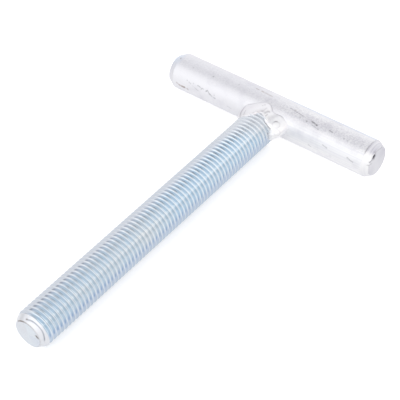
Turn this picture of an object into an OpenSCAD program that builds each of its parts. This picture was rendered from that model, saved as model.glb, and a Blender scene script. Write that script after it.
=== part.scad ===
// T-shaped anchor bolt: a threaded rod welded end-on to the middle of a round cross bar.
// It lies flat, with the bar along X, the rod along -Y and both resting on z = 0.
// The origin is under the middle of the whole bolt. All sizes are in millimetres.

/* [Cross bar] */
// Diameter of the round bar
bar_d = 16; // [14:0.5:22]
// Length of the bar over its end faces
bar_len = 103; // [70:1:180]
// Length of the chamfer turned on each end of the bar
bar_chamfer_len = 3; // [1:0.25:6]
// Depth of that chamfer, from the bar's side to its end face
bar_chamfer_depth = 1.75; // [0.5:0.25:4]

/* [Threaded rod] */
// Diameter of the rod over the crests of its thread
thread_d = 16; // [14:0.5:20]
// Distance from the bar's axis to the free end of the rod
rod_reach = 150; // [80:1:300]
// Length of the chamfer on the rod's free end
rod_chamfer_len = 3.25; // [1:0.25:5]
// Depth of that chamfer, a little below the thread's root
rod_chamfer_depth = 2; // [1:0.1:3]
// Length of the chamfer on the rod's inner end, which the weld fills
inner_chamfer_len = 2.5; // [1:0.25:4]
// Depth of that chamfer
inner_chamfer_depth = 2.1; // [1:0.1:3]
// How far the rod's inner end is melted into the bar's side
rod_sink = 1; // [0.5:0.1:2]
// Depth to which the weld has melted the crests of the last turns
melt_depth = 0.3; // [0.2:0.1:0.8]
// Length of melted turns that shows ahead of the weld's front edge
melt_ahead = 0.2; // [0.1:0.1:1]

/* [Weld, first run] */
// Radius of the run's rounded section
run_r = 5.9; // [5:0.1:7]
// Height of the run's crown over the rod's side
run_crown = 1.8; // [1:0.1:3]
// Distance of the run's middle ahead of the bar's front
run_ahead = 0.6; // [0:0.1:1.5]
// Shift of the run to the left of the rod's axis
run_left = 1; // [0:0.1:1.5]
// Shift of the run below the rod's axis
run_drop = 0.8; // [0.3:0.1:1.2]
// Angle round the rod at which the run begins, up from its right side
run_start = 105; // [95:1:112]
// Angle that the run goes round the rod, over the left side and underneath
run_sweep = 197; // [185:1:210]
// Distance of the run's root from the line it is carried about
run_root_r = 2.8; // [2:0.1:3.2]
// Step by which the ball that rounds its beginning is smaller than the section
run_end_step = 0.2; // [0.1:0.1:0.6]
// Radius of the small nose where the run begins
nose_r = 3; // [2.5:0.1:3.5]
// Depth of the nose's middle under the bar's side
nose_sink = 1.1; // [0.5:0.1:1.5]
// Distance of the nose's middle to the right of the rod's axis
nose_right = 0.2; // [-0.5:0.1:1]
// Height of the nose's middle up the bar's front, as an angle about the bar
nose_angle = 52; // [48:1:58]

/* [Weld, right side] */
// Radius of the large round deposit
lump_r = 5; // [4.5:0.1:5.5]
// Height of the large deposit's middle over the rod's axis
lump_up = 2.6; // [1.5:0.1:3.5]
// Radius of the small round deposit below it
low_lump_r = 3.7; // [3.4:0.1:4.2]
// Depth of the small deposit's middle under the rod's axis
low_lump_down = 0.4; // [0:0.1:1.5]
// Distance of both middles inside the rod's side
lump_inset = 0.5; // [0:0.1:1.5]
// Distance of both middles ahead of the bar's front
lump_ahead = 0.5; // [0:0.1:1]

/* [Weld, underside] */
// Height of the weld's underside over the lowest line of the rod
weld_lift = 0.7; // [0.4:0.1:1.5]

/* [Hidden] */
$fn = 96;
bar_r = bar_d / 2;
rod_r = thread_d / 2;
axis_z = max(bar_r, rod_r);
bar_y = (rod_reach - bar_r) / 2;
rod_len = rod_reach - bar_r + rod_sink;
bar_chamfer = [bar_chamfer_len, bar_chamfer_depth];
free_chamfer = [rod_chamfer_len, rod_chamfer_depth];
inner_chamfer = [inner_chamfer_len, inner_chamfer_depth];
run_ring_r = rod_r + run_crown - run_r;
run_gap = rod_r - run_ring_r - norm([run_left, run_drop]);
run_reach = run_ahead + sqrt(run_r * run_r - run_gap * run_gap);
melt_len = max(run_reach, lump_ahead + lump_r) + melt_ahead;
weld_box = 4 * (rod_r + run_r);

// Places its children with the crossing of the two axes as their origin
module at_crossing() {
    translate([0, bar_y, axis_z])
        children();
}

// Half the outline of a round bar, with a chamfer of a given length and depth on each end
module chamfered_outline(r, len, first, last) {
    polygon([
        [0, 0],
        [r - first[1], 0],
        [r, first[0]],
        [r, len - last[0]],
        [r - last[1], len],
        [0, len]
    ]);
}

// The bar centred on the crossing, along X
module bar_solid() {
    translate([-bar_len / 2, 0, 0])
        rotate([0, 90, 0])
            rotate_extrude()
                chamfered_outline(bar_r, bar_len, bar_chamfer, bar_chamfer);
}

// Half the rod's outline, its crests melted down where the weld covers them
module rod_outline() {
    difference() {
        chamfered_outline(rod_r, rod_len, free_chamfer, inner_chamfer);
        translate([rod_r - melt_depth, rod_reach - bar_r - melt_len])
            square([2 * melt_depth, melt_len + 2 * rod_sink]);
    }
}

// The rod along -Y, its inner end shaped to the bar's side where it is melted in
module rod_solid() {
    difference() {
        translate([0, -rod_reach, 0])
            rotate([-90, 0, 0])
                rotate_extrude()
                    rod_outline();
        bar_solid();
    }
}

// The long run's section, cut off inside the joint where the rod meets the bar
module run_section() {
    intersection() {
        translate([run_ring_r, 0])
            circle(r = run_r);
        translate([run_root_r, -run_r])
            square([run_ring_r + run_r, 2 * run_r]);
    }
}

// The long run: a round section carried about a line just left of and below the rod's axis,
// with a slightly smaller ball rounding the end where it begins
module first_run() {
    translate([-run_left, -bar_r - run_ahead, -run_drop])
        rotate([90, 0, 0])
            rotate([0, 0, run_start]) {
                rotate_extrude(angle = run_sweep)
                    run_section();
                translate([run_ring_r, 0, 0])
                    sphere(r = run_r - run_end_step);
            }
}

// The small nose at the start of the long run, set on the bar's front
module run_nose() {
    rotate([-nose_angle, 0, 0])
        translate([nose_right, -bar_r + nose_sink, 0])
            sphere(r = nose_r);
}

// One round deposit between the rod's right side and the bar's front
module lump(r, up) {
    translate([rod_r - lump_inset, -bar_r - lump_ahead, up])
        sphere(r = r);
}

module cross_bar() {
    color("gainsboro")
        at_crossing()
            bar_solid();
}

module threaded_rod() {
    color("lightsteelblue")
        at_crossing()
            rod_solid();
}

module weld_bead() {
    color("silver")
        at_crossing()
            difference() {
                union() {
                    first_run();
                    run_nose();
                    lump(lump_r, lump_up);
                    lump(low_lump_r, -low_lump_down);
                }
                bar_solid();
                rod_solid();
                translate([-weld_box / 2, -weld_box / 2, -weld_box - rod_r + weld_lift])
                    cube(weld_box);
            }
}

cross_bar();
threaded_rod();
weld_bead();
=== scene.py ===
"""Anchor bolt: a threaded rod welded end-on to the middle of a round cross bar."""

import bpy
import numpy as np
from mathutils import Matrix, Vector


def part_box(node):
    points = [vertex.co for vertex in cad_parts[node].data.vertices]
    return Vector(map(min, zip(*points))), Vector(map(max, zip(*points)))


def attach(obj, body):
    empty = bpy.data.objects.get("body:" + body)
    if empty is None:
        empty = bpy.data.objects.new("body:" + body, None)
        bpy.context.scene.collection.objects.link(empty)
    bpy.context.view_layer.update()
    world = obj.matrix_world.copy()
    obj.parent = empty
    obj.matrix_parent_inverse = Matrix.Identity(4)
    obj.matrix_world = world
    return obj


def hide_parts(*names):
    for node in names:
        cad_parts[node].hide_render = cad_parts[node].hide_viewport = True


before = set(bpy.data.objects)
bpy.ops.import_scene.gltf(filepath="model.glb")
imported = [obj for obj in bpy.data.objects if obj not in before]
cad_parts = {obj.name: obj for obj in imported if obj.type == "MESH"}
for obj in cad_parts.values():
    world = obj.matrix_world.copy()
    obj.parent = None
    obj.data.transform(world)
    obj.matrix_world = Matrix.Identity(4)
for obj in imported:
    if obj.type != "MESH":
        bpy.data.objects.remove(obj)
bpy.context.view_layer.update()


# Cross bar
# A round bar of bright drawn steel, cut to length and chamfered on a lathe at both ends.
# Drawing left fine lengthwise streaks, and handling left scratches, small dents and a little rust.

# Lengths are in millimetres about the crossing of the two axes, and angles are in degrees
MM = 0.001
bar_low, bar_high = (np.array(corner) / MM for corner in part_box("cross_bar"))
CROSSING = (bar_low + bar_high) / 2
BAR_HALF = (bar_high[0] - bar_low[0]) / 2
BAR_R = (bar_high[2] - bar_low[2]) / 2
# Length and depth of each chamfer, and how far back from a corner its rounding begins
BAR_CHAMFER = (3.0, 1.75)
BAR_EDGE = 0.25
BEND_STEPS = 6
BAR_COLUMNS = 192
# Distance between rings on each stretch: face, chamfer, side, chamfer, face
BAR_SPACING = (0.25, 0.14, 0.3, 0.14, 0.25)
# Edges bent by more than this stay sharp
SHARP_FROM = 50
# The lathe's marks on the chamfers: their spacing and their height
LATHE_FEED = 0.8
LATHE_DEPTH = 0.012

# Each scratch or dent: x and angle up from the front at both ends, width, depth, darkness
BAR_SCUFFS = (
    (21.3, 72.4, 24.2, 67.8, 0.55, 0.10, 1.00),
    (19.0, 66.5, 19.3, 66.0, 0.50, 0.06, 0.75),
    (30.1, 69.9, 31.7, 68.6, 0.42, 0.06, 0.70),
    (22.0, 62.5, 25.8, 57.7, 0.38, 0.03, 0.42),
    (9.6, 82.5, 16.7, 76.1, 0.38, 0.03, 0.50),
    (15.5, 68.7, 15.8, 68.3, 0.50, 0.03, 0.50),
    (23.3, 1.6, 24.7, -2.4, 0.40, 0.04, 0.45),
    (30.0, 21.9, 32.2, 18.3, 0.45, 0.05, 0.50),
    (42.0, 18.6, 44.8, 12.3, 0.50, 0.05, 0.50),
    (37.4, 65.5, 37.7, 65.3, 0.50, 0.04, 0.50),
    (39.2, 64.2, 39.5, 64.0, 0.45, 0.03, 0.40),
    (-29.6, 69.8, -29.4, 69.6, 0.48, 0.05, 0.60),
    (-40.3, 68.7, -40.1, 68.7, 0.40, 0.02, 0.35),
    (-40.5, 24.9, -40.3, 24.4, 0.42, 0.02, 0.40),
    (-39.4, 22.0, -38.2, 18.6, 0.42, 0.02, 0.40),
    (-37.4, 16.4, -36.6, 14.1, 0.35, 0.01, 0.20),
    (-36.0, 12.4, -34.1, 7.7, 0.42, 0.02, 0.36),
    (-37.0, 24.7, -36.8, 24.4, 0.42, 0.02, 0.30),
    (-34.6, 24.2, -33.0, 21.8, 0.45, 0.03, 0.50),
    (-32.6, 17.1, -32.2, 21.2, 0.42, 0.03, 0.55),
    (-32.2, 21.2, -31.2, 21.1, 0.40, 0.03, 0.40),
    (-30.0, 18.2, -29.3, 22.4, 0.55, 0.03, 0.70),
    (-29.3, 22.4, -28.1, 14.8, 0.45, 0.03, 0.50),
    (-28.1, 14.8, -26.9, 11.1, 0.52, 0.03, 0.65),
    (-26.9, 11.1, -25.9, 9.7, 0.35, 0.02, 0.35),
    (-25.6, 9.2, -24.9, 7.9, 0.48, 0.03, 0.55),
    (-25.6, 18.1, -25.4, 17.9, 0.42, 0.02, 0.35),
    (-18.4, 1.2, -16.5, -1.1, 0.45, 0.02, 0.25),
    (-17.2, 82.2, -17.0, 82.0, 0.45, 0.02, 0.40),
)
# Each rust streak: the same two ends, width, strength
BAR_RUST = (
    (-46.0, 0.4, -44.6, -4.0, 0.55, 0.55),
    (-44.6, -4.0, -43.2, -5.4, 0.70, 0.70),
    (-43.2, -5.4, -41.5, -4.6, 0.85, 1.00),
    (-40.2, -4.8, -39.7, -7.5, 0.65, 0.60),
    (-9.6, 97.7, -8.2, 97.3, 0.45, 0.60),
    (-6.6, 96.8, -5.6, 96.4, 0.65, 0.60),
    (-5.0, 96.4, -1.0, 94.8, 0.55, 0.35),
    (-48.5, 80.6, -48.3, 79.8, 0.60, 0.75),
    (11.9, 84.5, 12.1, 84.3, 0.50, 0.45),
)
# Each nick in the right end face: distance from the axis and angle up from the front at both ends,
# width, depth, and darkness, which is painted shade in the nick
FACE_NICKS = (
    (5.6, 76, 5.0, 66, 0.80, 0.30, 0.60),
    (4.9, 62, 4.6, 55, 1.40, 0.80, 2.50),
    (4.5, 52, 6.2, 32, 0.60, 0.20, 0.60),
    (4.5, 24, 6.6, 19, 0.45, 0.10, 0.40),
    (6.3, 18, 6.4, -25, 0.50, 0.05, 0.15),
    (6.4, 72, 6.3, 124, 0.50, 0.05, 0.30),
)
# How far along the bar from that face a nick can reach
NICK_REACH = 1.5
# Painted shade along the line where the side meets the turned chamfer: how dark it is, by the angle up from
# the front
EDGE_AT = (-30, 15, 45, 60, 95, 115, 140)
RIGHT_EDGE_SHADE = (0.0, 0.0, 0.10, 0.55, 0.35, 0.15, 0.0)
LEFT_EDGE_SHADE = (0.05, 0.15, 0.15, 0.1, 0.0, 0.0, 0.0)
EDGE_WIDTH = 0.55
# How much each turned chamfer is darkened, by the same angle: partly tarnish, partly painted shade that
# follows the angle; and how much the end faces are darkened, which is painted shade
TARNISH_SHADE_AT = (-60, -20, 10, 48, 58, 66, 80, 95, 115)
RIGHT_TARNISH_SHADE = (0.35, 0.25, 0.1, 0.0, 0.3, 0.8, 0.8, 0.6, 0.5)
LEFT_TARNISH_SHADE = (0.5, 0.5, 0.5, 0.5, 0.45, 0.4, 0.3, 0.2, 0.2)
FACE_SHADE = 0.7
# Painted shade that makes the left arm a little darker: where it begins, and over what length it grows
LEFT_SHADE_FROM = 14
LEFT_SHADE_LENGTH = 28
# Handling flecks along the top: the angle they lie about, their spread above and below it, and how much
# fainter they are on the left arm with its painted shade
FLECK_AT = 74
FLECK_ABOVE = 34
FLECK_BELOW = 22
FLECK_FADED = 0.5
# A bluish film on top of the left end: the angle it lies about, its spread, its reach from the end face,
# the length over which it fades in, and its strength
END_FILM_AT = 80
END_FILM_SPREAD = 28
END_FILM_REACH = 4.8
END_FILM_FADE = 2.5
END_FILM_MOST = 0.9
# The same film on the back of the right arm: the angle at which it begins, the degrees over which it
# grows, the length from the middle over which it would grow to full, and the most it reaches
BACK_FILM_FROM = 108
BACK_FILM_TURN = 12
BACK_FILM_LENGTH = 20
BACK_FILM_MOST = 0.6


def rounded_outline(corners, edge, spacing):
    """Outline through the corners in the plane of (along, radius).

    Each inner corner is replaced by a parabola that leaves and meets its two sides at the
    distance edge, and the whole is then sampled at even steps of each stretch's own spacing.
    """
    corners = np.asarray(corners, float)
    way = np.diff(corners, axis=0)
    way /= np.linalg.norm(way, axis=1)[:, None]
    step = np.linspace(0, 1, BEND_STEPS)[:, None]
    stretches = []
    begin = corners[0]
    for index, gap in enumerate(spacing):
        last = index == len(spacing) - 1
        end = corners[index + 1] - (0 if last else edge) * way[index]
        count = max(int(np.linalg.norm(end - begin) / gap), 1)
        part = np.linspace(0, 1, count + 1)[:, None]
        stretches.append(begin + part * (end - begin))
        if not last:
            middle = corners[index + 1]
            begin = middle + edge * way[index + 1]
            bend = (1 - step) ** 2 * end + 2 * step * (1 - step) * middle + step ** 2 * begin
            stretches.append(bend[1:-1])
    return np.concatenate(stretches)


def stroke(x, s, ends, width):
    """Soft line on an unrolled surface: one at the line, falling as a bell with the distance from it."""
    x0, s0, x1, s1 = ends
    length = (x1 - x0) ** 2 + (s1 - s0) ** 2
    along = np.clip(((x - x0) * (x1 - x0) + (s - s0) * (s1 - s0)) / length, 0, 1)
    away = np.hypot(x - x0 - along * (x1 - x0), s - s0 - along * (s1 - s0))
    return np.exp(-(away / (0.5 * width)) ** 2)


def grid_faces(index, closed):
    """Quads between neighbours of an index grid; those with a repeated corner become triangles or vanish."""
    if closed:
        index = np.concatenate([index, index[:, :1]], axis=1)
    quads = np.stack([index[:-1, :-1], index[1:, :-1], index[1:, 1:], index[:-1, 1:]], axis=-1).reshape(-1, 4)
    same = quads == np.roll(quads, -1, axis=1)
    whole = quads[~same.any(axis=1)]
    bent = same.sum(axis=1) == 1
    keep = (same[bent].argmax(axis=1)[:, None] + np.array([1, 2, 3])) % 4
    return whole.tolist() + np.take_along_axis(quads[bent], keep, axis=1).tolist()


def make_piece(name, points, faces, marks, node_name, material, crease):
    """Puts points about the crossing into a mesh that replaces a node and rides on the bolt.

    Each mark is a number at every point, and edges bent by more than the crease stay sharp.
    """
    mesh = bpy.data.meshes.new(name)
    mesh.from_pydata(((points + CROSSING) * MM).tolist(), [], faces)
    mesh.update()
    mesh.shade_smooth()
    mesh.set_sharp_from_angle(angle=np.radians(crease))
    for key, values in marks.items():
        mark = mesh.attributes.new(key, "FLOAT", "POINT")
        mark.data.foreach_set("value", np.ravel(values).astype(np.float32))
    mesh.materials.append(material)
    piece = bpy.data.objects.new(name, mesh)
    bpy.context.scene.collection.objects.link(piece)
    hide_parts(node_name)
    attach(piece, "root")


def colour(code):
    """Linear red, green, blue and alpha of an sRGB hex code."""
    value = np.array([int(code[i:i + 2], 16) for i in (1, 3, 5)]) / 255
    linear = np.where(value <= 0.04045, value / 12.92, ((value + 0.055) / 1.055) ** 2.4)
    return (*linear.tolist(), 1.0)


def node(tree, kind, sockets=None, **settings):
    """Adds one node: settings are its properties, and sockets gives each input a value or a link."""
    made = tree.nodes.new(kind)
    for key, value in settings.items():
        setattr(made, key, value)
    for key, value in (sockets or {}).items():
        if isinstance(value, bpy.types.NodeSocket):
            tree.links.new(value, made.inputs[key])
        else:
            made.inputs[key].default_value = value
    return made


bar_cut = BAR_HALF - BAR_CHAMFER[0]
bar_face = BAR_R - BAR_CHAMFER[1]


def bar_points(outline):
    """The outline turned about the X axis, the angle counted from the front upwards.

    Dents lower the radius as bells about their lines, nicks do the same to the right end face, and
    the chamfers carry a fine wave of the lathe's feed.
    """
    along, radius = outline.T
    angle = 2 * np.pi * np.arange(BAR_COLUMNS) / BAR_COLUMNS
    travelled = np.concatenate([[0], np.hypot(*np.diff(outline, axis=0).T).cumsum()])
    turned = np.abs(along) > bar_cut
    coned = turned & (np.abs(along) < BAR_HALF - BAR_EDGE)
    wave = LATHE_DEPTH * np.sin(2 * np.pi * travelled / LATHE_FEED) * coned
    up = (angle + np.pi) % (2 * np.pi) - np.pi
    x, s = np.meshgrid(along, BAR_R * up, indexing="ij")
    scuff_and_shade = np.zeros_like(x)
    dent = np.zeros_like(x)
    for x0, up0, x1, up1, width, depth, dark in BAR_SCUFFS:
        line = stroke(x, s, (x0, BAR_R * np.radians(up0), x1, BAR_R * np.radians(up1)), width)
        scuff_and_shade = np.maximum(scuff_and_shade, dark * line)
        dent = np.maximum(dent, depth * line)
    rust = np.zeros_like(x)
    for x0, up0, x1, up1, width, strength in BAR_RUST:
        line = stroke(x, s, (x0, BAR_R * np.radians(up0), x1, BAR_R * np.radians(up1)), width)
        rust = np.maximum(rust, strength * line)
    r = radius[:, None] + wave[:, None] - dent
    y, z = -r * np.cos(angle), r * np.sin(angle)
    sunk = np.zeros_like(x)
    # Painted shade in the nicks of the end face
    for r0, up0, r1, up1, width, depth, dark in FACE_NICKS:
        begin, end = np.radians(up0), np.radians(up1)
        way = (-r0 * np.cos(begin), r0 * np.sin(begin), -r1 * np.cos(end), r1 * np.sin(end))
        line = stroke(y, z, way, width) * (x > BAR_HALF - NICK_REACH)
        scuff_and_shade = np.maximum(scuff_and_shade, dark * line)
        sunk = np.maximum(sunk, depth * line)
    degrees = np.degrees(up)
    # Painted shade along the lines where the sides meet the chamfers
    for side, edge_shades in ((1, RIGHT_EDGE_SHADE), (-1, LEFT_EDGE_SHADE)):
        edge = np.exp(-((side * x - bar_cut) / (0.5 * EDGE_WIDTH)) ** 2)
        scuff_and_shade = np.maximum(scuff_and_shade, np.interp(degrees, EDGE_AT, edge_shades) * edge)
    # Painted shade that darkens the left arm
    left_arm_shade = np.clip((LEFT_SHADE_FROM - x) / LEFT_SHADE_LENGTH, 0, 1)
    spread = np.where(degrees > FLECK_AT, FLECK_ABOVE, FLECK_BELOW)
    flecked = np.exp(-((degrees - FLECK_AT) / spread) ** 2) * (1 - FLECK_FADED * left_arm_shade)
    end_film = END_FILM_MOST * np.exp(-((degrees - END_FILM_AT) / END_FILM_SPREAD) ** 2)
    end_film = end_film * np.clip((END_FILM_REACH - x - BAR_HALF) / END_FILM_FADE, 0, 1)
    back_film = np.clip(x / BACK_FILM_LENGTH, 0, BACK_FILM_MOST) * (x < bar_cut)
    back_film = back_film * np.clip((degrees - BACK_FILM_FROM) / BACK_FILM_TURN, 0, 1)
    lathe = np.repeat(turned[:, None], BAR_COLUMNS, axis=1)
    # Partly tarnish, partly painted shade by the angle; the end faces get painted shade
    right_tarnish_shade, left_tarnish_shade = (
        np.interp(degrees, TARNISH_SHADE_AT, share) for share in (RIGHT_TARNISH_SHADE, LEFT_TARNISH_SHADE))
    tarnish_and_shade = np.where(x > 0, right_tarnish_shade, left_tarnish_shade)
    tarnish_and_shade = np.where(np.abs(x) > BAR_HALF - 0.5 * BAR_EDGE, FACE_SHADE, tarnish_and_shade)
    points = np.stack([x - sunk, y, z], axis=-1)
    return points, {"scuff_and_shade": scuff_and_shade, "rust": rust, "turned": lathe, "tarnish_and_shade": tarnish_and_shade, "left_arm_shade": left_arm_shade,
                    "flecked": flecked, "film": np.maximum(end_film, back_film)}


bar_corners = [(-BAR_HALF, 0), (-BAR_HALF, bar_face), (-bar_cut, BAR_R)]
bar_corners += [(-x, r) for x, r in reversed(bar_corners)]
bar_outline = rounded_outline(bar_corners, BAR_EDGE, BAR_SPACING)
bar_surface, bar_marks = bar_points(bar_outline)
bar_index = np.arange(bar_surface.shape[0] * BAR_COLUMNS).reshape(-1, BAR_COLUMNS)
bar_index[0] = bar_index[0, 0]
bar_index[-1] = bar_index[-1, 0]


def drawn_steel():
    """Bright drawn steel: near-white metal whose lengthwise die streaks spread its reflections across it.

    The scale of each pattern is how many of its marks lie in a millimetre.
    """
    made = bpy.data.materials.new("bright_drawn_steel")
    made.use_nodes = True
    tree = made.node_tree
    shader = tree.nodes["Principled BSDF"]
    place = node(tree, "ShaderNodeTexCoord").outputs["Object"]
    # Die streaks about 0.7 mm wide and 40 mm long, drawn coarser than the real ones so that they show
    drawn = node(tree, "ShaderNodeMapping", {"Vector": place, "Scale": (0.025 / MM, 1.4 / MM, 1.4 / MM)})
    streak = node(tree, "ShaderNodeTexNoise", {
        "Vector": drawn.outputs[0], "Scale": 1.0, "Detail": 4.0, "Roughness": 0.6})
    # Handling flecks about 0.4 mm wide and 0.8 mm long
    handled = node(tree, "ShaderNodeMapping", {"Vector": place, "Scale": (1.2 / MM, 2.6 / MM, 2.6 / MM)})
    fleck = node(tree, "ShaderNodeTexNoise", {
        "Vector": handled.outputs[0], "Scale": 1.0, "Detail": 5.0, "Roughness": 0.65})
    # Cloudy stains about 6 mm across
    cloud = node(tree, "ShaderNodeTexNoise", {
        "Vector": place, "Scale": 0.16 / MM, "Detail": 5.0, "Roughness": 0.62})
    # Grain about 0.5 mm across that breaks up scratches and rust
    grain = node(tree, "ShaderNodeTexNoise", {
        "Vector": place, "Scale": 2 / MM, "Detail": 3.0, "Roughness": 0.6})
    tone = node(tree, "ShaderNodeMapRange", {
        "Value": streak.outputs["Fac"], "From Min": 0.32, "From Max": 0.66, "To Min": 0.0, "To Max": 1.0})
    clean = node(tree, "ShaderNodeMix", {
        "Factor": tone.outputs[0], "A": colour("#f2f2f6"), "B": colour("#fcfcfd")}, data_type="RGBA")
    # Painted shade: the left arm a little darker
    left_arm_shade_mark = node(tree, "ShaderNodeAttribute", attribute_name="left_arm_shade")
    base = node(tree, "ShaderNodeMix", {
        "Factor": left_arm_shade_mark.outputs["Fac"], "A": clean.outputs["Result"], "B": colour("#f0f0f4")},
        data_type="RGBA")
    stain = node(tree, "ShaderNodeMapRange", {
        "Value": cloud.outputs["Fac"], "From Min": 0.5, "From Max": 0.75, "To Min": 0.0, "To Max": 0.45})
    clouded = node(tree, "ShaderNodeMix", {
        "Factor": stain.outputs[0], "A": base.outputs["Result"], "B": colour("#d9d8e0")}, data_type="RGBA")
    fleck_mark = node(tree, "ShaderNodeAttribute", attribute_name="flecked")
    fleck_tone = node(tree, "ShaderNodeMapRange", {
        "Value": fleck.outputs["Fac"], "From Min": 0.4, "From Max": 0.66, "To Min": 0.05, "To Max": 0.62})
    flecks = node(tree, "ShaderNodeMath", {
        0: fleck_mark.outputs["Fac"], 1: fleck_tone.outputs[0]}, operation="MULTIPLY")
    flecked = node(tree, "ShaderNodeMix", {
        "Factor": flecks.outputs[0], "A": clouded.outputs["Result"], "B": colour("#c3c1cb")},
        data_type="RGBA")
    # The lathe leaves the ends white, and they tarnish in rings about 0.4 mm apart. The same mark carries
    # painted shade by the angle round the bar and on the end faces
    ringed = node(tree, "ShaderNodeMapping", {"Vector": place, "Scale": (2.5 / MM, 0.06 / MM, 0.06 / MM)})
    ring = node(tree, "ShaderNodeTexNoise", {"Vector": ringed.outputs[0], "Scale": 1.0, "Detail": 2.0})
    ring_tone = node(tree, "ShaderNodeMapRange", {
        "Value": ring.outputs["Fac"], "From Min": 0.35, "From Max": 0.65, "To Min": 0.6, "To Max": 1.2})
    tarnish_shade_mark = node(tree, "ShaderNodeAttribute", attribute_name="tarnish_and_shade")
    tarnish_and_shade = node(tree, "ShaderNodeMath", {
        0: tarnish_shade_mark.outputs["Fac"], 1: ring_tone.outputs[0]}, operation="MULTIPLY")
    lathed = node(tree, "ShaderNodeMix", {
        "Factor": tarnish_and_shade.outputs[0], "A": colour("#fdfdfe"), "B": colour("#cdcdd8")}, data_type="RGBA")
    turned_mark = node(tree, "ShaderNodeAttribute", attribute_name="turned")
    turned = node(tree, "ShaderNodeMix", {
        "Factor": turned_mark.outputs["Fac"], "A": flecked.outputs["Result"], "B": lathed.outputs["Result"]},
        data_type="RGBA")
    film_mark = node(tree, "ShaderNodeAttribute", attribute_name="film")
    filmed = node(tree, "ShaderNodeMix", {
        "Factor": film_mark.outputs["Fac"], "A": turned.outputs["Result"], "B": colour("#e2e9f4")},
        data_type="RGBA")
    # Scratches and dents, and painted shade in the nicks and along the chamfers' edges, darken towards
    # #5b5963
    scuff_and_shade = node(tree, "ShaderNodeAttribute", attribute_name="scuff_and_shade")
    broken = node(tree, "ShaderNodeMapRange", {
        "Value": grain.outputs["Fac"], "From Min": 0.35, "From Max": 0.58, "To Min": 0.35, "To Max": 1.0})
    wear_and_shade = node(tree, "ShaderNodeMath", {0: scuff_and_shade.outputs["Fac"], 1: broken.outputs[0]}, operation="MULTIPLY")
    scuffed_and_shaded = node(tree, "ShaderNodeMix", {
        "Factor": wear_and_shade.outputs[0], "A": filmed.outputs["Result"], "B": colour("#5b5963")}, data_type="RGBA")
    rust = node(tree, "ShaderNodeAttribute", attribute_name="rust")
    specks = node(tree, "ShaderNodeMath", {
        0: rust.outputs["Fac"], 1: broken.outputs[0]}, operation="MULTIPLY")
    rusted = node(tree, "ShaderNodeMix", {
        "Factor": specks.outputs[0], "A": scuffed_and_shaded.outputs["Result"], "B": colour("#93796a")},
        data_type="RGBA")
    rough = node(tree, "ShaderNodeMapRange", {
        "Value": streak.outputs["Fac"], "From Min": 0.3, "From Max": 0.7, "To Min": 0.6, "To Max": 0.54})
    spoilt = node(tree, "ShaderNodeMath", {
        0: specks.outputs[0], 1: 0.3, 2: rough.outputs[0]}, operation="MULTIPLY_ADD")
    bump = node(tree, "ShaderNodeBump", {
        "Strength": 0.25, "Distance": 0.00002, "Height": streak.outputs["Fac"]})
    shader.inputs["Metallic"].default_value = 1.0
    tree.links.new(rusted.outputs["Result"], shader.inputs["Base Color"])
    tree.links.new(spoilt.outputs[0], shader.inputs["Roughness"])
    tree.links.new(bump.outputs[0], shader.inputs["Normal"])
    return made


make_piece("bar_turned", bar_surface.reshape(-1, 3), grid_faces(bar_index, True), bar_marks,
           "cross_bar", drawn_steel(), SHARP_FROM)


# Threaded rod
# Steel rod with a rolled right-hand thread of 2 mm pitch, chamfered on both ends and bright zinc plated.
# Its inner end is shaped to the bar's side. The weld's heat has greyed the last turns, and the free
# end's rim has begun to rust.

rod_low, rod_high = (np.array(corner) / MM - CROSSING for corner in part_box("threaded_rod"))
ROD_R = rod_high[0]
ROD_FREE_END = rod_low[1]
ROD_INNER_END = rod_high[1]
# The thread: its pitch and depth, the width of its crest, how soft its root and crest are, and where a
# crest crosses the top of the rod
PITCH = 2.007
THREAD_DEPTH = 1.22
CREST_FLAT = 0.17
ROOT_ROUND = 0.13
CREST_ROUND = 0.02
CREST_AT_TOP = -147.736
# Length and depth of the chamfers on the free and the inner end
ROD_CHAMFER = (3.25, 2.0)
INNER_CHAMFER = (2.5, 2.1)
ROD_COLUMNS = 72
# Turns laid past each end before they are cut off, rings on the free end's cone, and those at its rim
SPARE_TURNS = 2
CONE_RING_COUNT = 26
RIM_RINGS = 2
# Places in half a pitch, and then in a whole one, at which the thread is laid
HALF_STATIONS = np.array([0, 0.035, 0.05, 0.07, 0.09, 0.2, 0.33, 0.38, 0.43])
PITCH_STATIONS = np.concatenate([HALF_STATIONS, [0.5], 1 - HALF_STATIONS[:0:-1]])
# How blue the plating's film is along the rod
FILM_AT = (-150, -120, -97, -90, -80, -70, -36)
FILM_BLUE = (0.85, 0.55, 0.5, 0.2, 0.7, 1.0, 0.9)
# Painted shade by the angle from the top to the right: grey high on the left, and a deeper blue
# low on the right
SIDE_AT = (-180, -60, -18, -6, 6, 66, 78, 84, 90, 120, 180)
SIDE_GREY_SHADE = (0.0, 1.0, 0.9, 0.35, 0.0, 0.0, 0.0, 0.0, 0.0, 0.0, 0.0)
SIDE_BLUE_SHADE = (0.0, 0.0, 0.0, 0.0, 0.0, 0.0, 0.08, 0.32, 0.9, 0.6, 0.0)
# The weld's heat: where it begins on the top of the rod, over what length it would grow to full, how much
# nearer to the weld it begins for each degree to the right, between which angles, and the most it reaches
HEAT_FROM = -32
HEAT_LENGTH = 18
HEAT_TURN = 0.16
HEAT_SIDES = (-40, 110)
HEAT_MOST = 0.85
# The thread fades into the free end's chamfer: where it ends, where it is full, and how far it is filled
THREAD_RUNOUT = (2.0, 3.6, 0.45)
# How far past that chamfer its cone still shows on the crests, how much of its look the end face has, and
# the distance within which a point counts as lying on a face
MACHINED_PAST = 0.2
FACE_MACHINED = 0.6
TOUCH = 0.001
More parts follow.
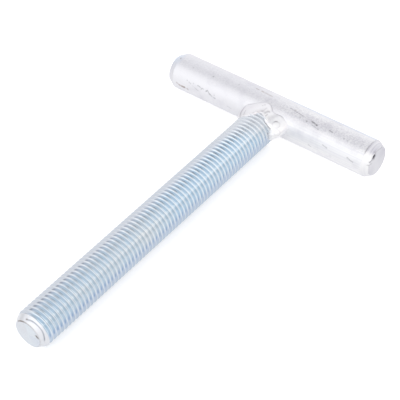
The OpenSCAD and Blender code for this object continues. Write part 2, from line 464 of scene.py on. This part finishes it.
# A shallow groove in that chamfer, with painted shade in it: angle from the top to the right, distance from
# the end, darkness
CRESCENT = np.array((
    (-8, 1.1, 0.0), (-2, 1.2, 0.7), (12, 1.62, 0.8), (23, 1.77, 0.75), (37, 1.88, 0.7), (53, 1.93, 0.6),
    (69, 1.73, 0.7), (88, 1.45, 0.95), (97, 1.35, 0.0)))
CRESCENT_HALF = 0.2
CRESCENT_DEPTH = 0.1
# A spot of rust on the chamfer and a dash of it on the end face: angle and distance from the end or
# angle and distance from the axis at both ends, then radius or width, and strength
RUST_SPOT = (-4, 1.2, 0.3, 0.9)
RUST_DASH = (66, 4.8, 76, 5.4, 0.75, 1.3)
# Rust round the free end's rim, by the same angle
RIM_AT = (-48, -40, -34, -28, -15, -8, 5, 24, 46, 60, 110)
RIM_RUST = (0.0, 1.0, 0.8, 1.0, 1.0, 0.6, 0.6, 0.5, 0.35, 0.3, 0.2)
RIM_WIDTH = 0.28


def thread_radius(turn):
    """Radius against the place in one pitch: a crest flat, straight flanks at 30 degrees and a rounded root.

    The flank falls from the crest by the cotangent of 30 degrees. It is joined to the crest and the
    root by a smooth lesser and a smooth greater of the two radii.
    """
    away = np.abs(turn - np.round(turn)) * PITCH
    flank = ROD_R - (away - CREST_FLAT / 2) * np.sqrt(3)
    root = ROD_R - THREAD_DEPTH
    low = flank + ROOT_ROUND * np.logaddexp(0, (root - flank) / ROOT_ROUND)
    r = ROD_R - CREST_ROUND * np.logaddexp(0, (ROD_R - low) / CREST_ROUND)
    return r + CREST_ROUND * np.logaddexp(0, -CREST_FLAT / 2 * np.sqrt(3) / CREST_ROUND)


def end_cone(y):
    """Radius of the chamfer cones at both ends of the rod, the lesser of the two."""
    free = ROD_R - ROD_CHAMFER[1] + ROD_CHAMFER[1] / ROD_CHAMFER[0] * (y - ROD_FREE_END)
    inner = ROD_R - INNER_CHAMFER[1] + INNER_CHAMFER[1] / INNER_CHAMFER[0] * (ROD_INNER_END - y)
    return np.minimum(free, inner)


def coped(z):
    """Where the inner end lies: on its own flat, or on the bar's side where the bar reaches past it."""
    return np.minimum(ROD_INNER_END, -np.sqrt(np.maximum(BAR_R ** 2 - z ** 2, 0)))


rod_angle = 2 * np.pi * np.arange(ROD_COLUMNS) / ROD_COLUMNS
stations = len(PITCH_STATIONS)
first_turn = int(np.floor((ROD_FREE_END - CREST_AT_TOP) / PITCH)) - SPARE_TURNS
last_turn = int(np.ceil((ROD_INNER_END - CREST_AT_TOP) / PITCH)) + SPARE_TURNS
turn_at = (np.arange(first_turn, last_turn)[:, None] + PITCH_STATIONS).ravel()
rod_y = CREST_AT_TOP + PITCH * (turn_at[:, None] + rod_angle / (2 * np.pi))
rod_cone = end_cone(rod_y)
thread_ends, thread_full, filled = THREAD_RUNOUT
fade = np.clip((thread_full - rod_y + ROD_FREE_END) / (thread_full - thread_ends), 0, 1)
filling = filled * fade ** 2 * (3 - 2 * fade)
rod_r = np.minimum(np.minimum(thread_radius(turn_at)[:, None] + filling, ROD_R), rod_cone)
inner_r = end_cone(coped((ROD_R - INNER_CHAMFER[1]) * np.cos(rod_angle)))
inner_y = coped(inner_r * np.cos(rod_angle))
face_rings = np.array([0.98, 0.955, 0.93, 0.9, 0.87, 0.84, 0.81, 0.77, 0.7, 0.5, 0.25, 0])
cone_rings = np.linspace(thread_ends, 0, CONE_RING_COUNT)
free_y = ROD_FREE_END + np.concatenate([cone_rings, 0 * face_rings])[:, None] + np.zeros(ROD_COLUMNS)
free_r = end_cone(free_y) * np.concatenate([1 + 0 * cone_rings, face_rings])[:, None]
side_angle = (np.degrees(rod_angle) + 180) % 360 - 180
crescent_y, crescent_shade = (np.interp(side_angle, CRESCENT[:, 0], CRESCENT[:, k]) for k in (1, 2))
crescent = crescent_shade * np.exp(-((free_y - ROD_FREE_END - crescent_y) / CRESCENT_HALF) ** 2)
# The groove stays off the rim and the end face
crescent[len(cone_rings) - RIM_RINGS:] = 0
free_r -= CRESCENT_DEPTH * crescent
back_r = inner_r * np.concatenate([[1], face_rings])[:, None]
back_y = coped(back_r * np.cos(rod_angle))

# Rows past an end take that end's ring, so their faces fall away
rod_index = np.arange(rod_y.size).reshape(rod_y.shape)
free_index = rod_y.size + np.arange(free_r.size).reshape(free_r.shape)
back_index = rod_y.size + free_r.size + np.arange(back_r.size).reshape(back_r.shape)
rod_index = np.where(rod_y <= ROD_FREE_END + thread_ends, free_index[0], rod_index)
rod_index = np.where(rod_y >= inner_y, back_index[0], rod_index)
free_index[-1] = free_index[-1, 0]
back_index[-1] = back_index[-1, 0]
seam = np.concatenate([rod_index[stations:, :1], np.full((stations, 1), back_index[0, 0])])
helix = np.concatenate([rod_index, seam], axis=1)
rod_faces = [face[::-1] for face in grid_faces(helix, False)]
rod_faces += grid_faces(free_index, True)
rod_faces += [face[::-1] for face in grid_faces(back_index, True)]

all_r = np.concatenate([rod_r.ravel(), free_r.ravel(), back_r.ravel()])
all_y = np.concatenate([np.clip(rod_y, ROD_FREE_END, ROD_INNER_END).ravel(), free_y.ravel(), back_y.ravel()])
all_angle = np.resize(rod_angle, all_r.size)
across, up = all_r * np.sin(all_angle), all_r * np.cos(all_angle)
rod_surface = np.stack([across, all_y, up], axis=-1)
used, rod_faces_used = np.unique(np.concatenate([np.array(face) for face in rod_faces]), return_inverse=True)
lengths = np.array([len(face) for face in rod_faces])
rod_faces = [part.tolist() for part in np.split(rod_faces_used, lengths.cumsum()[:-1])]
rod_surface = rod_surface[used]
crest = np.clip((all_r - ROD_R + THREAD_DEPTH) / THREAD_DEPTH, 0, 1)
from_end = all_y - ROD_FREE_END
coned = (all_r > end_cone(all_y) - TOUCH) & (from_end < ROD_CHAMFER[0] + MACHINED_PAST)
machined = (from_end < thread_ends + TOUCH) | coned
machined = np.where(from_end < TOUCH, FACE_MACHINED, machined)
# Painted shade in the crescent groove
groove_shade = np.concatenate([0 * rod_r.ravel(), crescent.ravel(), 0 * back_r.ravel()])
all_side = np.resize(side_angle, all_r.size)
heat_from = HEAT_FROM + HEAT_TURN * np.clip(all_side, *HEAT_SIDES)
burnt = np.clip((all_y - heat_from) / HEAT_LENGTH, 0, HEAT_MOST)
film = np.interp(all_y, FILM_AT, FILM_BLUE) * (1 - burnt)
grey, deep = (np.interp(all_side, SIDE_AT, share) for share in (SIDE_GREY_SHADE, SIDE_BLUE_SHADE))
rim = np.hypot(all_r - ROD_R + ROD_CHAMFER[1], all_y - ROD_FREE_END)
rod_rust = np.interp(all_side, RIM_AT, RIM_RUST) * np.exp(-(rim / RIM_WIDTH) ** 2)
spot_side, spot_in, spot_r, spot_strength = RUST_SPOT
spot_away = np.hypot(all_r * np.radians(all_side - spot_side), from_end - spot_in)
rod_rust = np.maximum(rod_rust, spot_strength * np.exp(-(spot_away / spot_r) ** 2))
begin, begin_r, end, end_r, dash_width, dash_strength = RUST_DASH
begin, end = np.radians(begin), np.radians(end)
dash_ends = (begin_r * np.sin(begin), begin_r * np.cos(begin), end_r * np.sin(end), end_r * np.cos(end))
dash = stroke(across, up, dash_ends, dash_width) * (from_end < TOUCH)
rod_rust = np.maximum(rod_rust, dash_strength * dash)
rod_marks = {"crest": crest, "film": film, "grey": grey, "deep": deep, "burnt": burnt, "rust": rod_rust,
             "machined": machined, "groove_shade": groove_shade}
rod_marks = {key: values[used] for key, values in rod_marks.items()}


def zinc_plate():
    """Bright, mirror-like zinc under a thin blue film, with painted shade greyer on the left and bluer on the
    right.

    It is white on its rubbed crests and turned end, has painted shade in its chamfer's groove, and is matt
    grey where burnt.
    """
    made = bpy.data.materials.new("bright_zinc_plate")
    made.use_nodes = True
    tree = made.node_tree
    shader = tree.nodes["Principled BSDF"]
    place = node(tree, "ShaderNodeTexCoord").outputs["Object"]
    # Cloudy plating about 8 mm across
    cloud = node(tree, "ShaderNodeTexNoise", {
        "Vector": place, "Scale": 0.12 / MM, "Detail": 4.0, "Roughness": 0.6})
    # Specks and grain about 0.5 mm across
    grain = node(tree, "ShaderNodeTexNoise", {
        "Vector": place, "Scale": 2 / MM, "Detail": 3.0, "Roughness": 0.6})
    drift = node(tree, "ShaderNodeMapRange", {
        "Value": cloud.outputs["Fac"], "From Min": 0.3, "From Max": 0.7, "To Min": -0.25, "To Max": 0.25})
    film_mark = node(tree, "ShaderNodeAttribute", attribute_name="film")
    film = node(tree, "ShaderNodeMath", {0: film_mark.outputs["Fac"], 1: drift.outputs[0]}, use_clamp=True)
    base = node(tree, "ShaderNodeMix", {
        "Factor": film.outputs[0], "A": colour("#e0e5e9"), "B": colour("#d4e3ef")}, data_type="RGBA")
    # Painted shade: greyer high on the left, bluer low on the right
    upper_left_shade_mark = node(tree, "ShaderNodeAttribute", attribute_name="grey")
    left = node(tree, "ShaderNodeMix", {
        "Factor": upper_left_shade_mark.outputs["Fac"], "A": base.outputs["Result"], "B": colour("#cdd3dd")},
        data_type="RGBA")
    lower_right_shade_mark = node(tree, "ShaderNodeAttribute", attribute_name="deep")
    sides = node(tree, "ShaderNodeMix", {
        "Factor": lower_right_shade_mark.outputs["Fac"], "A": left.outputs["Result"], "B": colour("#c1d0e5")},
        data_type="RGBA")
    crest_mark = node(tree, "ShaderNodeAttribute", attribute_name="crest")
    rubbed = node(tree, "ShaderNodeMapRange", {
        "Value": crest_mark.outputs["Fac"], "From Min": 0.94, "From Max": 1.0})
    bright = node(tree, "ShaderNodeMix", {
        "Factor": rubbed.outputs[0], "A": sides.outputs["Result"], "B": colour("#eef0f3")}, data_type="RGBA")
    burnt_mark = node(tree, "ShaderNodeAttribute", attribute_name="burnt")
    greyed = node(tree, "ShaderNodeMix", {
        "Factor": burnt_mark.outputs["Fac"], "A": bright.outputs["Result"], "B": colour("#dfe3e9")},
        data_type="RGBA")
    machined_mark = node(tree, "ShaderNodeAttribute", attribute_name="machined")
    turned = node(tree, "ShaderNodeMix", {
        "Factor": machined_mark.outputs["Fac"], "A": greyed.outputs["Result"], "B": colour("#e9ebf0")},
        data_type="RGBA")
    # Painted shade in the groove on the free end's chamfer
    groove_shade_mark = node(tree, "ShaderNodeAttribute", attribute_name="groove_shade")
    groove_shaded = node(tree, "ShaderNodeMix", {
        "Factor": groove_shade_mark.outputs["Fac"], "A": turned.outputs["Result"], "B": colour("#7f8896")},
        data_type="RGBA")
    rust_mark = node(tree, "ShaderNodeAttribute", attribute_name="rust")
    broken = node(tree, "ShaderNodeMapRange", {
        "Value": grain.outputs["Fac"], "From Min": 0.35, "From Max": 0.55, "To Min": 0.45, "To Max": 1.0})
    rust = node(tree, "ShaderNodeMath", {
        0: rust_mark.outputs["Fac"], 1: broken.outputs[0]}, operation="MULTIPLY")
    final = node(tree, "ShaderNodeMix", {
        "Factor": rust.outputs[0], "A": groove_shaded.outputs["Result"], "B": colour("#6f5a4a")}, data_type="RGBA")
    bright_rough = node(tree, "ShaderNodeMapRange", {
        "Value": cloud.outputs["Fac"], "From Min": 0.3, "From Max": 0.7, "To Min": 0.03, "To Max": 0.07})
    dulled = node(tree, "ShaderNodeMath", {
        0: burnt_mark.outputs["Fac"], 1: 0.25, 2: bright_rough.outputs[0]}, operation="MULTIPLY_ADD")
    worked = node(tree, "ShaderNodeMath", {
        0: machined_mark.outputs["Fac"], 1: 0.3, 2: dulled.outputs[0]}, operation="MULTIPLY_ADD")
    rough = node(tree, "ShaderNodeMath", {
        0: rust.outputs[0], 1: 0.5, 2: worked.outputs[0]}, operation="MULTIPLY_ADD")
    # Burnt zinc turns to a matt grey oxide
    metal = node(tree, "ShaderNodeMapRange", {
        "Value": burnt_mark.outputs["Fac"], "To Min": 1.0, "To Max": 0.5})
    tree.links.new(metal.outputs[0], shader.inputs["Metallic"])
    tree.links.new(final.outputs["Result"], shader.inputs["Base Color"])
    tree.links.new(rough.outputs[0], shader.inputs["Roughness"])
    return made


make_piece("rod_threaded", rod_surface, rod_faces, rod_marks,
           "threaded_rod", zinc_plate(), SHARP_FROM)


# Weld
# Bare weld metal that joins the rod to the bar: one long run over the left side and underneath,
# ending in a small lip on top, and round deposits on the right with craters where the arc was broken off.

WELD_COLUMNS = 480
WELD_ROWS = 44
# Columns to each side over which the table below is averaged
WELD_SOFTEN = 5
WELD_SHARP_FROM = 60
# Round the rod, up from its right side: the angle, the toe's distance from the rod's axis on the bar,
# the toe's distance along the rod, and the distance from the axis that the section swells from
WELD_RING = np.array((
    (-40, 7.8, -11.2, 6.2), (-23, 8.5, -12.7, 6.6), (-10, 9.5, -13.4, 6.7), (0, 11.3, -13.9, 6.9),
    (7, 12.3, -14.2, 7.0),
    (14, 12.9, -13.9, 7.0), (20, 12.7, -13.0, 7.0), (28, 11.5, -12.6, 7.0), (35, 10.4, -12.5, 6.9),
    (41, 9.1, -12.4, 6.5), (47, 8.0, -12.2, 5.9), (53, 7.4, -12.0, 5.1), (58, 7.1, -11.7, 4.6),
    (62, 7.05, -11.4, 4.5), (66, 7.1, -11.1, 4.4), (70, 7.2, -10.8, 4.2), (79, 7.28, -10.4, 4.0),
    (84, 7.28, -10.4, 4.0), (89, 7.3, -11.2, 4.0), (95, 7.32, -12.9, 4.0), (103, 7.4, -13.8, 4.2),
    (112, 7.5, -14.3, 4.6), (126, 8.0, -14.7, 5.2), (137, 8.5, -14.8, 5.7), (150, 9.8, -14.8, 6.4),
    (160, 10.4, -14.7, 6.7), (175, 10.2, -14.4, 6.8), (200, 9.9, -14.0, 6.8), (225, 8.9, -13.6, 6.4),
    (250, 7.7, -12.8, 5.5), (270, 7.2, -12.0, 5.0), (290, 7.6, -11.8, 5.5), (305, 8.1, -11.2, 6.1)), float)
# The toe's distance from the axis on the rod, how far the toe on the bar is sunk, and the height of the
# underside over the rod's lowest line
WELD_ROOT_R = 7.1
WELD_SINK = 0.25
WELD_LIFT = 0.7
# The two rows that close the ring inside the metal: their shares of the bar toe's distance, and how far
# they are sunk
HIDDEN_SHARES = (0.75, 0.6)
HIDDEN_SINK = 0.4
# Each crater: its middle, radius, depth, the painted shade on its upper wall, and the darkness of its ring
WELD_CRATERS = (
    ((8.75, -10.2, 5.15), 1.55, 0.04, 0.70, 0.14),
    ((10.6, -12.0, 2.8), 1.25, 0.04, 0.10, 0.18),
)
# The direction of a crater's upper wall, the width of its ring, the ring's height as a share of the depth,
# and the wall's distance from the middle as a share of the radius
CRATER_UP = (-0.57, 0.70, 0.44)
CRATER_RING = 0.28
CRATER_RISE = 0.4
CRATER_WALL = 0.9
# Each crease, pore or burr, or line of painted shade: its two ends, width, depth, darkness
WELD_MARKS = (
    # Painted shade under the lip, over shallow grooves
    ((-0.1, -10.9, 8.2), (1.6, -9.0, 8.3), 0.8, 0.08, 0.30),
    ((1.6, -9.0, 8.3), (1.6, -6.8, 8.2), 0.6, 0.06, 0.22),
    ((2.6, -9.4, 7.9), (2.9, -7.9, 7.7), 0.9, 0.12, 0.40),
    ((2.9, -7.9, 7.7), (3.3, -7.2, 7.3), 0.8, 0.12, 0.45),
    ((2.5, -10.6, 7.6), (2.9, -10.9, 7.4), 0.5, 0.05, 0.40),
    ((3.5, -10.1, 7.2), (3.5, -9.2, 7.2), 0.6, 0.10, 0.55),
    ((5.1, -10.5, 6.1), (5.0, -9.5, 6.3), 0.6, 0.08, 0.40),
    # A broad band of painted shade in the hollow between the lump and the bar
    ((5.2, -9.7, 6.4), (6.0, -6.6, 6.2), 2.4, 0.05, 0.24),
    ((5.1, -12.0, 5.4), (6.4, -12.3, 4.5), 0.4, -0.10, 0.40),
    ((6.4, -12.3, 4.5), (7.6, -12.4, 3.8), 0.4, -0.10, 0.55),
    ((-0.8, -6.5, 8.2), (-0.7, -6.5, 8.2), 0.5, 0.08, 0.40),
    ((-0.4, -5.5, 8.0), (-0.3, -5.4, 8.0), 0.6, 0.10, 0.50),
    ((-6.0, -11.2, 6.3), (-5.1, -13.8, 6.3), 0.5, 0.15, 0.40),
    # Painted shade along the run's outline against the bar, with no depth
    ((-6.3, -14.6, 4.4), (-7.7, -12.3, 4.9), 1.1, 0.0, 0.40),
    ((-7.7, -12.3, 4.9), (-8.5, -9.8, 4.9), 1.1, 0.0, 0.40),
    ((-8.5, -9.8, 4.9), (-9.3, -6.9, 4.1), 1.1, 0.0, 0.40),
)
# Painted shade along the toe on the bar, where the weld meets it, by the angle up from the right
TOE_AT = (-30, 10, 26, 32, 38, 46, 52, 58, 66, 76, 84, 100, 112, 135, 145, 200, 220)
TOE_SHADE = (0.0, 0.0, 0.1, 0.4, 0.65, 0.55, 0.3, 0.2, 0.45, 0.45, 0.3, 0.2, 0.15, 0.3, 0.5, 0.5, 0.0)
TOE_WIDTH = 1.5
# Where the long run lies, by the same angle: it is a little greyer than the round deposits
RUN_AT = (60, 80, 240, 280)
RUN_SHARE = (0, 1, 1, 0)


def ring_table(angles, values, at, soften):
    """Values round a ring, straight between the given angles and then averaged over a short arc."""
    plain = np.interp(at, angles, values, period=360)
    reach = np.arange(-soften, soften + 1)
    bell = np.exp(-(reach / (0.5 * soften)) ** 2)
    return sum(w * np.roll(plain, k) for w, k in zip(bell / bell.sum(), reach))


def weld_points():
    """A ring of quarter ellipses from the toe on the rod to the toe on the bar, closed inside the metal.

    At each angle round the rod the section starts at the rod's toe, ends at the bar's toe and swells
    from a point inside the joint: that point, plus the cosine times the way to the one toe, plus
    the sine times the way to the other.
    """
    at = 360 * np.arange(WELD_COLUMNS) / WELD_COLUMNS
    toe_r, toe_y, inside_r = (
        ring_table(WELD_RING[:, 0], values, at, WELD_SOFTEN) for values in WELD_RING[:, 1:].T)
    turn = np.radians(at)
    bar_y = -np.sqrt(BAR_R ** 2 - (toe_r * np.sin(turn)) ** 2) + WELD_SINK
    quarter = np.linspace(0, np.pi / 2, WELD_ROWS)[:, None]
    r = inside_r + np.cos(quarter) * (WELD_ROOT_R - inside_r) + np.sin(quarter) * (toe_r - inside_r)
    y = bar_y + np.cos(quarter) * (toe_y - bar_y)
    hidden_r = np.outer(HIDDEN_SHARES, toe_r)
    hidden_y = np.stack([bar_y, 0.5 * (bar_y + toe_y)]) + HIDDEN_SINK
    r = np.concatenate([r, hidden_r])
    y = np.concatenate([y, hidden_y])
    z = np.maximum(r * np.sin(turn), -BAR_R + WELD_LIFT)
    return np.stack([r * np.cos(turn), y, z], axis=-1), turn


def surface_normals(points):
    """Unit normals of a grid that is closed along its second axis, from the steps to its neighbours."""
    down = np.gradient(points, axis=0)
    across = np.roll(points, -1, axis=1) - np.roll(points, 1, axis=1)
    normal = np.cross(down, across)
    return normal / np.maximum(np.linalg.norm(normal, axis=-1, keepdims=True), 1e-9)


def weld_details(points, turn):
    """Moves the ring along its normals by craters and marks, and gives each point's darkness, partly painted
    shade.

    A crater is a raised ring about a hollow that falls with the square of the distance from its middle.
    A mark is a bell about the line between its ends.
    """
    out = np.zeros(points.shape[:2])
    toe = np.linalg.norm(points - points[WELD_ROWS - 1], axis=-1)
    # Painted shade along the toe on the bar
    at = (np.degrees(turn) - TOE_AT[0]) % 360 + TOE_AT[0]
    dark = np.interp(at, TOE_AT, TOE_SHADE) * np.exp(-(toe / (0.5 * TOE_WIDTH)) ** 2)
    for middle, radius, depth, wall_shade, around in WELD_CRATERS:
        way = points - np.array(middle)
        away = np.linalg.norm(way, axis=-1)
        ring = np.exp(-((away - radius) / CRATER_RING) ** 2)
        out += CRATER_RISE * depth * ring - depth * np.clip(1 - (away / radius) ** 2, 0, 1)
        # Painted shade on the crater's upper wall
        above = np.clip(way @ np.array(CRATER_UP) / np.maximum(away, 1e-6), 0, 1) ** 3
        wall = np.exp(-((away - CRATER_WALL * radius) / CRATER_RING) ** 2)
        dark = np.maximum(dark, np.maximum(wall_shade * above * wall, around * ring))
    for begin, end, width, depth, shade in WELD_MARKS:
        begin, end = np.array(begin), np.array(end)
        along = np.clip((points - begin) @ (end - begin) / ((end - begin) @ (end - begin)), 0, 1)
        away = np.linalg.norm(points - begin - along[..., None] * (end - begin), axis=-1)
        line = np.exp(-(away / (0.5 * width)) ** 2)
        out -= depth * line
        dark = np.maximum(dark, shade * line)
    return points + out[..., None] * surface_normals(points), dark


weld_surface, weld_turn = weld_points()
weld_surface, weld_shade_and_marks = weld_details(weld_surface, weld_turn)
weld_index = np.arange(weld_surface.shape[0] * WELD_COLUMNS).reshape(-1, WELD_COLUMNS)
weld_index = np.concatenate([weld_index, weld_index[:1]])
weld_run = np.interp(np.degrees(weld_turn), RUN_AT, RUN_SHARE) * np.ones_like(weld_shade_and_marks)
weld_marks = {"dark": weld_shade_and_marks, "run": weld_run}


def weld_metal():
    """Bare weld metal: a smooth, fused skin, greyer on the long run, with painted shade at its edges and
    hollows.
    """
    made = bpy.data.materials.new("bare_weld_metal")
    made.use_nodes = True
    tree = made.node_tree
    shader = tree.nodes["Principled BSDF"]
    place = node(tree, "ShaderNodeTexCoord").outputs["Object"]
    # Uneven skin about 1.5 mm across
    skin = node(tree, "ShaderNodeTexNoise", {
        "Vector": place, "Scale": 0.65 / MM, "Detail": 4.0, "Roughness": 0.55})
    tone = node(tree, "ShaderNodeMapRange", {
        "Value": skin.outputs["Fac"], "From Min": 0.35, "From Max": 0.65})
    base = node(tree, "ShaderNodeMix", {
        "Factor": tone.outputs[0], "A": colour("#f8f8fb"), "B": colour("#fefeff")}, data_type="RGBA")
    run = node(tree, "ShaderNodeAttribute", attribute_name="run")
    greyed = node(tree, "ShaderNodeMix", {
        "Factor": run.outputs["Fac"], "A": base.outputs["Result"], "B": colour("#f6f5f8")}, data_type="RGBA")
    # Darker pores and burrs, and painted shade along the toe, on craters' upper walls, under the lip and
    # along the outline
    dark = node(tree, "ShaderNodeAttribute", attribute_name="dark")
    marked = node(tree, "ShaderNodeMix", {
        "Factor": dark.outputs["Fac"], "A": greyed.outputs["Result"], "B": colour("#6d6a76")},
        data_type="RGBA")
    bump = node(tree, "ShaderNodeBump", {"Strength": 0.12, "Distance": 0.0001, "Height": skin.outputs["Fac"]})
    shader.inputs["Metallic"].default_value = 1.0
    shader.inputs["Roughness"].default_value = 0.5
    tree.links.new(marked.outputs["Result"], shader.inputs["Base Color"])
    tree.links.new(bump.outputs[0], shader.inputs["Normal"])
    return made


make_piece("weld_run", weld_surface.reshape(-1, 3), grid_faces(weld_index, True), weld_marks,
           "weld_bead", weld_metal(), WELD_SHARP_FROM)


# Floor, light and camera
# A plain white floor in a white room whose soft light is a little uneven, and the camera at the
# photograph's place.

# Half the floor's width, in metres
FLOOR_HALF = 6.0
# How much light the card adds where the camera sees it, and where the metal mirrors it
CARD_SEEN = 0.4
CARD_MIRRORED = 0.5
# The room's level, then each patch of it: its direction, the cosines between which it fades in, its level
ROOM_LEVEL = (1.03, 1.03, 1.04, 1)
FRONT_PATCH = ((0, -0.87, 0.5), 0.74, 0.87, (1.36, 1.36, 1.36, 1))
LEFT_PATCH = ((-1, 0, 0), 0.84, 0.99, (0.64, 0.63, 0.63, 1))
REAR_PATCH = ((0.78, 0.45, 0.4), 0.86, 0.95, (0.85, 0.85, 0.85, 1))
ROOF_PATCH = ((0, 0.4, 0.917), 0.82, 0.97, (0.94, 0.94, 0.95, 1))
# A lamp on the right and a dark gap overhead: middle, half sizes, how much of them is soft, level
STRIP_LAMP = ((0.75, 0, 0.58), (0.25, 0.6, 0.25), 0.4, (1.38, 1.27, 1.19, 1))
ROOF_GAP = ((-0.22, -0.03, 0), (0.56, 0.3, np.inf), 0.5, (0.3, 0.3, 0.33, 1))


def white_floor():
    """White card: a matt floor that the camera and the metal see as white, with the bolt's shadow kept."""
    made = bpy.data.materials.new("white_card")
    made.use_nodes = True
    tree = made.node_tree
    out = tree.nodes["Material Output"]
    tree.nodes.remove(tree.nodes["Principled BSDF"])
    path = node(tree, "ShaderNodeLightPath")
    mirrored = node(tree, "ShaderNodeMath", {
        0: path.outputs["Is Glossy Ray"], 1: path.outputs["Is Transmission Ray"]}, operation="MAXIMUM")
    shade = node(tree, "ShaderNodeMix", {
        "Factor": mirrored.outputs[0], "A": colour("#f2f2f2"), "B": colour("#bcbcbc")}, data_type="RGBA")
    card = node(tree, "ShaderNodeBsdfDiffuse", {"Color": shade.outputs["Result"]})
    reflected = node(tree, "ShaderNodeMath", {0: mirrored.outputs[0], 1: CARD_MIRRORED}, operation="MULTIPLY")
    lift = node(tree, "ShaderNodeMath", {
        0: path.outputs["Is Camera Ray"], 1: CARD_SEEN, 2: reflected.outputs[0]}, operation="MULTIPLY_ADD")
    glow = node(tree, "ShaderNodeEmission", {"Color": (1, 1, 1, 1), "Strength": lift.outputs[0]})
    both = node(tree, "ShaderNodeAddShader", {0: card.outputs[0], 1: glow.outputs[0]})
    tree.links.new(both.outputs[0], out.inputs["Surface"])
    return made


floor_mesh = bpy.data.meshes.new("floor")
floor_mesh.from_pydata([(x, y, 0.0) for x, y in ((-1, -1), (1, -1), (1, 1), (-1, 1))], [], [(0, 1, 2, 3)])
floor_mesh.transform(Matrix.Diagonal((FLOOR_HALF, FLOOR_HALF, 1, 1)))
floor_mesh.materials.append(white_floor())
floor = bpy.data.objects.new("floor", floor_mesh)
bpy.context.scene.collection.objects.link(floor)


def studio_world():
    """A white room: brighter in front, dimmer on the left, at the right rear and under the roof.

    A patch grows with the cosine of the angle from its direction. The lamp and the gap are ellipsoids that
    fade towards their edges.
    """
    world = bpy.data.worlds.new("white_room")
    bpy.context.scene.world = world
    world.use_nodes = True
    tree = world.node_tree
    back = tree.nodes["Background"]
    way = node(tree, "ShaderNodeTexCoord").outputs["Generated"]
    level = ROOM_LEVEL
    for facing, begins, whole, shade in (FRONT_PATCH, LEFT_PATCH, REAR_PATCH, ROOF_PATCH):
        toward = node(tree, "ShaderNodeVectorMath", {0: way, 1: facing}, operation="DOT_PRODUCT")
        patch = node(tree, "ShaderNodeMapRange", {
            "Value": toward.outputs["Value"], "From Min": begins, "From Max": whole},
            interpolation_type="SMOOTHSTEP")
        mixed = node(tree, "ShaderNodeMix", {
            "Factor": patch.outputs[0], "A": level, "B": shade}, data_type="RGBA")
        level = mixed.outputs["Result"]
    for middle, half, soft, shade in (STRIP_LAMP, ROOF_GAP):
        shrink = 1 / np.array(half)
        centred = node(tree, "ShaderNodeMapping", {
            "Vector": way, "Location": (-np.array(middle) * shrink).tolist(), "Scale": shrink.tolist()})
        ball = node(tree, "ShaderNodeTexGradient", {"Vector": centred.outputs[0]}, gradient_type="SPHERICAL")
        patch = node(tree, "ShaderNodeMapRange", {
            "Value": ball.outputs["Fac"], "From Min": 0.0, "From Max": soft}, interpolation_type="SMOOTHSTEP")
        mixed = node(tree, "ShaderNodeMix", {
            "Factor": patch.outputs[0], "A": level, "B": shade}, data_type="RGBA")
        level = mixed.outputs["Result"]
    tree.links.new(level, back.inputs["Color"])
    back.inputs["Strength"].default_value = 1.0


studio_world()

# The camera's place about the crossing, its three directions, and its lens and sensor
CAMERA_PLACE = (269.14, -361.18, 387.22)
CAMERA_RIGHT = (0.78324, 0.62004, -0.04569)
CAMERA_DOWN = (0.40665, -0.56649, -0.71675)
CAMERA_AHEAD = (-0.47030, 0.54281, -0.69583)
CAMERA_LENS = 127.19
CAMERA_SENSOR = 36.0
camera_data = bpy.data.cameras.new("camera")
camera_data.sensor_width = CAMERA_SENSOR
camera_data.lens = CAMERA_LENS
camera = bpy.data.objects.new("camera", camera_data)
bpy.context.scene.collection.objects.link(camera)
camera_axes = np.stack([CAMERA_RIGHT, -np.array(CAMERA_DOWN), -np.array(CAMERA_AHEAD)], axis=1)
camera_place = (np.array(CAMERA_PLACE) + CROSSING) * MM
camera.matrix_world = Matrix.Translation(camera_place.tolist()) @ Matrix(camera_axes.tolist()).to_4x4()
bpy.context.scene.camera = camera

bpy.context.scene.view_settings.view_transform = "Standard"
